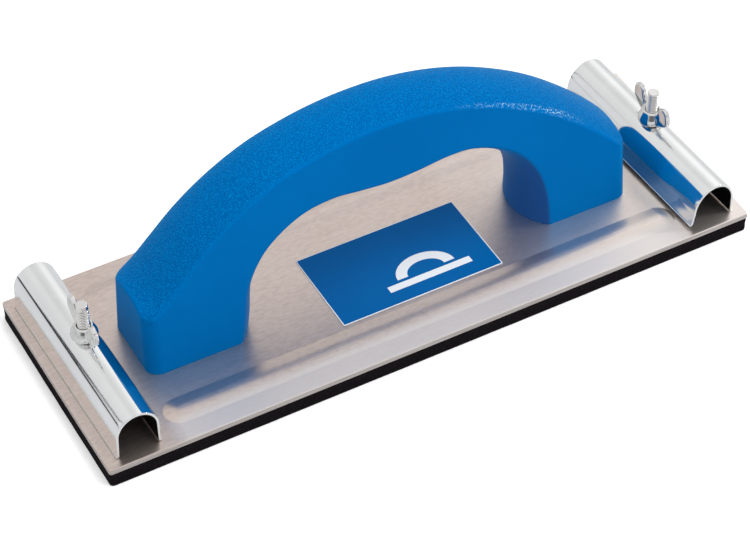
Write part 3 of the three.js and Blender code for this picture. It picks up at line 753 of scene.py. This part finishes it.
# ------------------------------------------------------------------ backing pad
def build_pad():
    rng = np.random.default_rng(7)
    hx, hy = LENGTH / 2, WIDTH / 2
    rows = [(0.55, 0.0), (0.25, 0.06), (0.06, 0.3), (0.0, 0.9), (0.04, 1.9), (0.07, 2.8), (0.04, 3.8), (0.0, 4.7), (0.05, 5.2), (0.22, 5.38), (0.5, PAD_T - BOND)]
    base = round_rect(hx, hy, 1.3, 0.0, 6, pitch=2.2)
    m = len(base)
    k = np.arange(m)
    waves = [np.sum([rng.uniform(0.2, 1.0) * np.sin(2 * np.pi * f * k / m + rng.uniform(0, 6.28)) for f in (3, 7, 13, 29, 53)], axis=0) for _ in rows]
    loops = []
    for (inset, z), wv in zip(rows, waves):
        wv = (wv - wv.max()) / (wv.max() - wv.min()) * 0.10  # always inwards
        pts = round_rect(hx - inset, hy - inset, 1.3, z, 6, pitch=2.2)
        if len(pts) != m:
            pts = [(x * (hx - inset) / hx, y * (hy - inset) / hy, z) for x, y, _ in base]
        loops.append([(x * (1 + d / hx), y * (1 + d / hy), z) for (x, y, z), d in zip(pts, wv)])
    bm = loops_to_bm(loops)
    o = obj_from_bm("foam_pad", bm, [M_FOAM])
    sharpen(o, 50)
    wn = o.modifiers.new("normals", "WEIGHTED_NORMAL")
    wn.mode, wn.weight, wn.keep_sharp = "FACE_AREA", 50, True
    bake_modifiers(o)
    return o


# ------------------------------------------------------------------ label
def build_label():
    x0, x1, y0, y1, t = LABEL
    z0, z1 = TOP + BOND, TOP + BOND + t
    bm = bmesh.new()
    cx, cy, hx, hy = (x0 + x1) / 2, (y0 + y1) / 2, (x1 - x0) / 2, (y1 - y0) / 2
    ring = lambda pts: [bm.verts.new(scaled(p)) for p in pts]
    rr = [ring(round_rect(hx - s, hy - s, 0.4, z, 3, cx, cy)) for s, z in ((0.0, z0), (0.0, z1 - 0.05), (0.06, z1))]
    inner = ring(round_rect(hx - 0.32, hy - 0.32, 0.25, z1, 3, cx, cy))

    def strip(a, b, mat):
        for i in range(len(a)):
            j = (i + 1) % len(a)
            bm.faces.new((a[i], a[j], b[j], b[i])).material_index = mat

    strip(rr[0], rr[1], 1)
    strip(rr[1], rr[2], 1)
    strip(rr[2], inner, 1)
    bm.faces.new(rr[0][::-1])
    # a plain pictogram of the tool: a bow over a bar
    shapes = []
    ix, iy = cx + 6.0, cy - 5.6
    shapes.append([(ix - 15, iy - 5.2), (ix + 15, iy - 5.2), (ix + 15, iy - 2.6), (ix - 15, iy - 2.6)])
    arch = []
    for i in range(17):
        a = math.radians(180 - 180 * i / 16)
        arch.append((ix + 10.4 * math.cos(a), iy - 1.4 + 7.6 * math.sin(a)))
    for i in range(17):
        a = math.radians(180 * i / 16)
        arch.append((ix + 6.6 * math.cos(a), iy - 1.4 + 4.4 * math.sin(a)))
    shapes.append(arch)
    holes = []
    for pts in shapes:
        vs = ring([(x, y, z1) for x, y in pts])
        f = bm.faces.new(vs)
        f.material_index = 1
        holes.append(vs)
    for f in flat_with_holes(bm, inner, holes, None):
        f.material_index = 0
    bmesh.ops.recalc_face_normals(bm, faces=bm.faces)
    o = obj_from_bm("label_film", bm, [M_BLUE, M_WHITE])
    sharpen(o, 30)
    return o


# ------------------------------------------------------------------ clamps
def clamp_section(c, t, arc=40, leg=8):
    def half(foot, rest):
        pts = []
        rx, rz = c["arch"] - t, c["top"] - t - c["spring"]
        for f in (0.0, 0.02, 0.045, 0.08, 0.2, 0.4, 0.6, 0.8):
            flare = 0.28 * max(0.0, 1 - f * (c["spring"] - rest) / 0.45)
            pts.append((foot - t + flare + (rx - (foot - t)) * f, rest + (c["spring"] - rest) * f))
        for i in range(arc + 1):
            a = math.radians(90 * i / arc)
            pts.append((rx * math.cos(a), c["spring"] + rz * math.sin(a)))
        return pts

    near, far = half(c["inner_foot"], c["inner_rest"]), half(c["foot"], REST)
    whole = near + [(-x, z) for x, z in far[-2::-1]]
    return whole if c["inward"] > 0 else [(-x, z) for x, z in whole[::-1]]


def build_bar(side, c):
    outer, inner = clamp_section(c, 0.0), clamp_section(c, CLAMP_T)
    e = 0.16

    def inset(a, b, d):  # a moved towards b by d
        out = []
        for p, q in zip(a, b):
            l = math.dist(p, q)
            out.append((p[0] + (q[0] - p[0]) * d / l, p[1] + (q[1] - p[1]) * d / l))
        return out

    def section(y, d):
        o2, i2 = inset(outer, inner, d), inset(inner, outer, d)
        # the section, shrunk inwards by d; d rounds the ends of the bar
        return [(x, y, TOP + z) for x, z in o2] + [(x, y, TOP + z) for x, z in i2[::-1]]

    h = CLAMP_LEN / 2
    ys = [(-h, e), (-h + e * 0.3, e * 0.3), (-h + e, 0.0)]
    n = 36
    body = [(-h + e + (2 * h - 2 * e) * i / n, 0.0) for i in range(1, n)]
    loops = [section(y, d) for y, d in ys + body + [(-y, d) for y, d in ys[::-1]]]
    bm = bmesh.new()
    rows = [[bm.verts.new(scaled(p)) for p in loop] for loop in loops]
    m = len(rows[0])
    half = m // 2
    for a, b in zip(rows, rows[1:]):
        for i in range(m):
            j = (i + 1) % m
            bm.faces.new((a[i], a[j], b[j], b[i]))
    for row, flip in ((rows[0], True), (rows[-1], False)):
        for i in range(half - 1):
            q = (row[i], row[i + 1], row[m - 2 - i], row[m - 1 - i])
            bm.faces.new(q[::-1] if flip else q)
    bmesh.ops.recalc_face_normals(bm, faces=bm.faces)
    for f in bm.faces:
        f.material_index = 0
    inner_faces = []
    for a, b in zip(rows, rows[1:]):
        for i in range(half, m - 1):
            e = {a[i], a[i + 1], b[i], b[i + 1]}
            inner_faces += [f for f in a[i].link_faces if set(f.verts) == e]
    for f in inner_faces:
        f.material_index = 1
    raw = rows[0] + rows[-1]
    for f in bm.faces:
        if all(v in raw for v in f.verts) or all(min(abs(v.co.z / MM - TOP - c["inner_rest"]), abs(v.co.z / MM - TOP - REST)) < 0.25 for v in f.verts):
            f.material_index = 2
    bar = obj_from_bm(f"clamp_channel_{side}", bm, [M_CHROME, M_INNER_SHADE, M_CUT])
    cut = obj_from_bm("cutter", lathe([(0, 12), (CLAMP_HOLE_R, 12), (CLAMP_HOLE_R, 30), (0, 30)], 40), [M_CHROME])
    bar.data.transform(Matrix.Translation((c["dx"] * MM, c["dy"] * MM, 0)) @ Matrix.Rotation(math.radians(c["turn"]), 4, "Z"))
    mod = bar.modifiers.new("hole", "BOOLEAN")
    mod.operation, mod.solver, mod.object = "DIFFERENCE", "EXACT", cut
    bpy.context.view_layer.update()
    bake_modifiers(bar)
    bpy.data.objects.remove(cut)
    sharpen(bar, 50)
    wn = bar.modifiers.new("normals", "WEIGHTED_NORMAL")
    wn.mode, wn.weight, wn.keep_sharp = "FACE_AREA", 50, True
    bake_modifiers(bar)
    bar.data.transform(Matrix.Translation((c["x"] * MM, 0, 0)))
    return bar


def build_stud(side, c):
    z0 = PAD_T - BOND - STUD_HEAD_H
    top = TOP + c["stud"]
    seg = 28
    bm = bmesh.new()
    rows = []

    def row(z, rf):
        rows.append([bm.verts.new(scaled((c["x"] + rf(2 * math.pi * i / seg) * math.cos(2 * math.pi * i / seg), rf(2 * math.pi * i / seg) * math.sin(2 * math.pi * i / seg), z))) for i in range(seg)])

    # pan head with a rounded edge
    for r, z in ((0.9, z0), (0.9, z0 + 0.9), (1.15, z0 + 0.9), (1.15, z0), (STUD_HEAD_R * 0.7, z0), (STUD_HEAD_R * 0.86, z0 + 0.18), (STUD_HEAD_R * 0.96, z0 + 0.55), (STUD_HEAD_R, z0 + 1.0), (STUD_HEAD_R, z0 + STUD_HEAD_H - 0.1), (STUD_HEAD_R - 0.1, z0 + STUD_HEAD_H), (STUD_R + 0.1, z0 + STUD_HEAD_H)):
        row(z, lambda a, r=r: r)
    rows = rows[4:]
    for v in [v for v in bm.verts if not any(v in r for r in rows)]:
        bm.verts.remove(v)
    start, end = z0 + STUD_HEAD_H + 0.15, top
    minor = STUD_R - 0.42
    stop = top - c["blank"]

    def radius(a, z):
        ph = (z / PITCH - a / (2 * math.pi)) % 1.0
        tri = abs(ph * 2 - 1)  # 1 at the root, 0 at the crest
        r = STUD_R - 0.02 - 0.40 * smooth(0.12, 0.95, tri)
        fade = smooth(stop - 0.25, stop + 0.1, z)
        r = r * (1 - fade) + (STUD_R - 0.13) * fade
        return max(0.6, min(r, STUD_R - 0.3 + (top - z) * 1.0))

    n = int((end - start) / (PITCH / 9))
    for k in range(n + 1):
        z = start + (end - start) * k / n
        row(z, lambda a, z=z: radius(a, z))
    for r, dz in ((1.5, 0.02), (0.8, 0.02)):
        row(top + dz - 0.02, lambda a, r=r: r)
    for a, b in zip(rows, rows[1:]):
        for i in range(seg):
            j = (i + 1) % seg
            bm.faces.new((a[i], a[j], b[j], b[i]))
    bm.faces.new(rows[0][::-1])
    bm.faces.new(rows[-1])
    bmesh.ops.recalc_face_normals(bm, faces=bm.faces)
    o = sharpen(obj_from_bm(f"clamp_screw_{side}", bm, [M_THREAD]), 55)
    # mask of the thread roots, for their painted shade
    root = []
    for v in o.data.vertices:
        x, y, z = v.co.x / MM - c["x"], v.co.y / MM, v.co.z / MM
        ph = (z / PITCH - math.atan2(y, x) / (2 * math.pi)) % 1.0
        root.append(smooth(0.35, 0.95, abs(ph * 2 - 1)) if start < z < stop - 0.1 else 0.0)
    at = o.data.attributes.new("grain", "FLOAT", "POINT")
    at.data.foreach_set("value", root)
    return o


def build_hex(side, c):
    seg = 48
    ri = HEX_AF / 2
    z0, z1 = TOP + BOND, TOP + BOND + HEX_H

    def hexr(a, shrink=0.0, cap=9.0):
        k = (a + math.pi / 6) % (math.pi / 3) - math.pi / 6
        return min(ri / math.cos(k) - shrink, cap)

    loops = []
    corner = ri / math.cos(math.pi / 6)
    bore = STUD_R + 0.15
    prof = [("b", bore, z0), ("b", bore + 0.3, z0), ("h", ri - 0.05, z0), ("h", corner - 0.28, z0 + 0.18), ("h", corner, z0 + 0.42), ("h", corner, z1 - 0.42), ("h", corner - 0.28, z1 - 0.18), ("h", ri - 0.05, z1), ("b", bore + 0.3, z1), ("b", bore, z1 - 0.2)]
    for kind, r, z in prof:
        pts = []
        for i in range(seg):
            a = 2 * math.pi * i / seg
            rr = r if kind == "b" else hexr(a, 0.0, r)
            pts.append((c["x"] + rr * math.cos(a), rr * math.sin(a), z))
        loops.append(pts)
    bm = loops_to_bm(loops, closed=True)
    return sharpen(obj_from_bm(f"lock_nut_{side}", bm, [M_ZINC]), 35)


def build_spring(side, c):
    reach = SPRING_R + SPRING_WIRE_R + 0.15
    rx, rz = c["arch"] - CLAMP_T, c["top"] - CLAMP_T - c["spring"]
    roof = TOP + c["spring"] + rz * math.sqrt(1 - (reach / rx) ** 2)
    low = TOP + BOND + HEX_H + SPRING_WIRE_R + 0.35
    high = roof - SPRING_WIRE_R - 0.35
    coils, per = SPRING_COILS, 30
    n = int(coils * per)
    loops = []
    for k in range(n + 1):
        t = k / n
        turns = coils * t
        # the end coils lie flat, the middle ones climb
        u = (t - 0.5) * 2
        z = low + (high - low) * (0.5 + 0.5 * (1.25 * u - 0.25 * u**3) / 1.0)
        a = 2 * math.pi * turns
        r_dir = Vector((math.cos(a), math.sin(a), 0))
        centre = Vector((c["x"], 0, z)) + r_dir * SPRING_R
        tangent = Vector((-math.sin(a), math.cos(a), (high - low) / (2 * math.pi * SPRING_R * coils))).normalized()
        up = r_dir.cross(tangent).normalized()
        loops.append([tuple(centre + r_dir * SPRING_WIRE_R * math.cos(b) + up * SPRING_WIRE_R * math.sin(b)) for b in [2 * math.pi * i / 10 for i in range(10)]])
    o = obj_from_bm(f"coil_spring_{side}", loops_to_bm(loops), [M_WIRE])
    return sharpen(o, 60), low, high


def build_wing(side, c):
    """A die-cast wing nut: a bowl-shaped boss with two round-ended blades."""
    v = [(NUT_BORE_R, 0.0), (NUT_R - 1.0, 0.0), (NUT_R - 0.35, 0.25), (NUT_R - 0.02, 0.85), (NUT_R, 1.5), (NUT_R - 0.25, 2.5), (NUT_R - 0.75, 3.6), (NUT_R - 1.25, NUT_H - 0.45), (NUT_R - 1.6, NUT_H - 0.08), (NUT_BORE_R + 0.2, NUT_H), (NUT_BORE_R, NUT_H - 0.25)]
    body = obj_from_bm("wing_body", lathe(v, 48), [M_WING])
    half = WING_SPAN / 2

    def quad(p, q, r, n=10):
        return [((1 - t) ** 2 * p[0] + 2 * t * (1 - t) * q[0] + t * t * r[0], (1 - t) ** 2 * p[1] + 2 * t * (1 - t) * q[1] + t * t * r[1]) for t in [i / n for i in range(1, n + 1)]]

    outline = [(2.7, 0.9), (4.3, 0.9)]
    for q, r in (((7.4, 1.9), (half - 0.4, 4.6)), ((half + 0.5, 6.4), (half - 0.9, WING_TOP - 0.8)), ((half - 3.1, WING_TOP + 0.8), (half - 5.1, WING_TOP - 1.2)), ((4.4, 5.8), (2.9, NUT_H - 0.5))):
        outline += quad(outline[-1], q, r)
    parts = []
    for s in (1, -1):
        bm = bmesh.new()
        # each blade is its outline, given an even thickness
        rows = [[bm.verts.new(scaled((side_x, s * y, z))) for y, z in outline] for side_x in (-WING_T / 2, WING_T / 2)]
        k = len(outline)
        for i in range(k):
            j = (i + 1) % k
            bm.faces.new((rows[0][i], rows[0][j], rows[1][j], rows[1][i]))
        bm.faces.new(rows[0][::-1])
        bm.faces.new(rows[1])
        bmesh.ops.recalc_face_normals(bm, faces=bm.faces)
        w = obj_from_bm(f"wing_{s}", bm, [M_WING])
        bv = w.modifiers.new("round", "BEVEL")
        bv.limit_method, bv.angle_limit, bv.width, bv.segments, bv.use_clamp_overlap = "ANGLE", math.radians(50), 0.55 * MM, 4, True
        bake_modifiers(w)
        parts.append(w)
    for w in parts:
        mod = body.modifiers.new("join", "BOOLEAN")
        mod.operation, mod.solver, mod.object = "UNION", "EXACT", w
    cut = obj_from_bm("cutter", lathe([(0, -2), (NUT_BORE_R, -2), (NUT_BORE_R, 14), (0, 14)], 48), [M_WING])
    mod = body.modifiers.new("bore", "BOOLEAN")
    mod.operation, mod.solver, mod.object = "DIFFERENCE", "EXACT", cut
    rm = body.modifiers.new("cast", "REMESH")
    rm.mode, rm.voxel_size, rm.adaptivity = "VOXEL", 0.15 * MM, 0.0
    sm = body.modifiers.new("soft", "SMOOTH")
    sm.factor, sm.iterations = 0.5, 7
    bpy.context.view_layer.update()
    bake_modifiers(body)
    for w in parts + [cut]:
        bpy.data.objects.remove(w)
    body.name = f"wing_nut_cast_{side}"
    body.data.name = body.name
    body.data.materials.clear()
    body.data.materials.append(M_WING)
    body.data.polygons.foreach_set("use_smooth", [True] * len(body.data.polygons))
    body.data.polygons.foreach_set("material_index", [0] * len(body.data.polygons))
    body.data.transform(Matrix.Translation((c["x"] * MM, 0, (TOP + c["top"] + REST) * MM)) @ Matrix.Rotation(math.radians(c["nut"]), 4, "Z"))
    return body


# ------------------------------------------------------------------ build everything
def place(o, body, nodes):
    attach(o, body)
    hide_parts(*nodes)
    return o


place(build_handle(), "base", ["handle"])
place(build_plate(), "base", ["base_plate"])
pad = place(build_pad(), "base", ["backing_pad"])
place(build_label(), "base", ["label"])
for side, c in CLAMPS.items():
    place(build_bar(side, c), f"clamp_{side}", [f"clamp_bar_{side}"])
    place(build_stud(side, c), "base", [f"clamp_stud_{side}"])
    place(build_hex(side, c), "base", [f"stud_nut_{side}"])
    place(build_wing(side, c), f"wing_{side}", [f"wing_nut_{side}"])
    spring, low, high = build_spring(side, c)
    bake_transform(spring)
    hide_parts(f"clamp_spring_{side}")
for n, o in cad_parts.items():
    if n.startswith("handle_screw"):
        o.data.materials.clear()
        o.data.materials.append(M_SCREW)

# ------------------------------------------------------------------ floor, light and camera
scene = bpy.context.scene


def floor_material():
    """Matt paper. It's printed out to a clean pale ground for the camera, and lights the object as plain grey paper."""
    m, nt, b = material("floor_paper")
    f = noise(nt, coords(nt), 300.0, 3.0)
    nt.links.new(ramp(nt, f, [(0.3, (0.89, 0.89, 0.89)), (0.7, (0.93, 0.93, 0.93))]), b.inputs["Base Color"])
    b.inputs["Roughness"].default_value = 0.95
    b.inputs["Specular IOR Level"].default_value = 0.0
    b.inputs["Emission Color"].default_value = (1, 1, 1, 1)
    b.inputs["Emission Strength"].default_value = 0.3
    grey = node(nt, "ShaderNodeBsdfDiffuse", {"Color": ramp(nt, f, [(0.3, (0.60, 0.61, 0.62)), (0.7, (0.64, 0.65, 0.66))])})
    lp = node(nt, "ShaderNodeLightPath")
    mix = node(nt, "ShaderNodeMixShader", {0: lp.outputs["Is Camera Ray"], 1: grey.outputs[0], 2: b.outputs[0]})
    out = next(n for n in nt.nodes if n.type == "OUTPUT_MATERIAL")
    # open from below, so the pad's underside can be looked at
    clear = node(nt, "ShaderNodeBsdfTransparent")
    sided = node(nt, "ShaderNodeMixShader", {0: node(nt, "ShaderNodeNewGeometry").outputs["Backfacing"], 1: mix.outputs[0], 2: clear.outputs[0]})
    nt.links.new(sided.outputs[0], out.inputs["Surface"])
    return m


bm = bmesh.new()
bmesh.ops.create_grid(bm, x_segments=8, y_segments=8, size=4.0)
floor = obj_from_bm("floor", bm, [floor_material()])
floor.location = (0, 0, -0.00005)

DARK_AZ = math.radians(140.35)
world = bpy.data.worlds.new("studio")
scene.world = world
world.use_nodes = True
nt = world.node_tree
nt.nodes.clear()
wout = nt.nodes.new("ShaderNodeOutputWorld")
bg = nt.nodes.new("ShaderNodeBackground")
tc = nt.nodes.new("ShaderNodeTexCoord")
sep = node(nt, "ShaderNodeSeparateXYZ", {"Vector": tc.outputs["Generated"]})
sky = ramp(nt, sep.outputs["Z"], [(0.0, (0.66, 0.67, 0.68)), (0.10, (0.76, 0.77, 0.78)), (0.45, (0.74, 0.745, 0.75)), (1.0, (0.86, 0.86, 0.86))])
azim = node(nt, "ShaderNodeMath", {0: sep.outputs["Y"], 1: sep.outputs["X"]}, operation="ARCTAN2").outputs[0]


def bell(value, centre, inner, outer, lo, hi):
    """hi within inner of the centre, easing to lo at outer."""
    off = math2(nt, "ABSOLUTE", math2(nt, "SUBTRACT", value, centre), 0.0)
    return node(nt, "ShaderNodeMapRange", {"Value": off, "From Min": inner, "From Max": outer, "To Min": hi, "To Max": lo}, interpolation_type="SMOOTHSTEP").outputs["Result"]


# a tall doorway standing open in the far wall, in a thin dark skirting that fades out to both sides
tall = math2(nt, "MAXIMUM", bell(azim, DARK_AZ, 0.002, 0.024, 0.0, 0.5), bell(azim, DARK_AZ, 0.03, 0.085, 0.0, 0.11))
line = node(nt, "ShaderNodeMapRange", {"Value": math2(nt, "DIVIDE", sep.outputs["Z"], math2(nt, "ADD", tall, 0.0005)), "From Min": 0.8, "From Max": 1.1, "To Min": 1.0, "To Max": 0.0}, interpolation_type="SMOOTHSTEP").outputs["Result"]
sky = mix_rgb(nt, math2(nt, "MULTIPLY", line, span(nt, tall, 0.0, 1.0, 0.004, 0.03)), sky, (0.035, 0.04, 0.04))
# a wide bright window to the right of the far wall, and a dimmer corner to its left
sky = mix_rgb(nt, math2(nt, "MULTIPLY", bell(azim, math.radians(38), 0.0, 0.5, 0.0, 0.9), bell(sep.outputs["Z"], 0.62, 0.1, 0.6, 0.0, 1.0)), sky, (1.12, 1.11, 1.10))
sky = mix_rgb(nt, bell(azim, math.radians(84), 0.0, 0.5, 0.0, 0.14), sky, (0.2, 0.2, 0.21))
# the dark side of the room, behind the camera
sky = mix_rgb(nt, math2(nt, "MULTIPLY", bell(azim, math.radians(-112), 0.3, 0.9, 0.0, 0.85), bell(sep.outputs["Z"], 0.22, 0.1, 0.24, 0.0, 1.0)), sky, (0.04, 0.045, 0.05))
lp = nt.nodes.new("ShaderNodeLightPath")
seen = mix_rgb(nt, lp.outputs["Is Camera Ray"], sky, (1.0, 1.0, 1.0))
nt.links.new(seen, bg.inputs["Color"])
bg.inputs["Strength"].default_value = 1.0
nt.links.new(bg.outputs[0], wout.inputs["Surface"])


def area(name, loc, target, size, power, size_y=None, color=(1, 1, 1), gloss=True):
    l = bpy.data.lights.new(name, "AREA")
    l.shape = "RECTANGLE"
    l.size, l.size_y, l.energy, l.color = size, size_y or size, power, color
    o = bpy.data.objects.new(name, l)
    scene.collection.objects.link(o)
    o.location = loc
    o.rotation_euler = (Vector(target) - Vector(loc)).to_track_quat("-Z", "Y").to_euler()
    o.visible_camera = False
    o.visible_glossy = gloss
    return o


area("key", (0.45, -0.45, 1.45), (0, 0, 0), 0.9, 13.0, gloss=False)
area("glint", (0.91, -0.29, 0.47), (0.04, -0.01, 0.066), 0.10, 2.5).visible_diffuse = False

cam_data = bpy.data.cameras.new("camera")
cam = bpy.data.objects.new("camera", cam_data)
scene.collection.objects.link(cam)
az, el, roll = math.radians(-29.635), math.radians(45.334), math.radians(0.657)
back = Vector((math.sin(az) * math.cos(el), -math.cos(az) * math.cos(el), math.sin(el)))
fwd = -back
right = fwd.cross(Vector((0, 0, 1))).normalized()
up = right.cross(fwd)
r2 = right * math.cos(roll) + up * math.sin(roll)
u2 = -right * math.sin(roll) + up * math.cos(roll)
loc = Vector((-5.991, -6.141, 7.5)) + back * 838.753
m = Matrix.Identity(4)
for i in range(3):
    m[i][0], m[i][1], m[i][2], m[i][3] = r2[i], u2[i], back[i], loc[i] * MM
cam.matrix_world = m
cam_data.sensor_width = 36.0
cam_data.lens = 2631.604 * 36 / 750
cam_data.clip_start, cam_data.clip_end = 0.05, 20.0
scene.camera = cam
scene.view_settings.view_transform = "Standard"
scene.view_settings.look = "None"
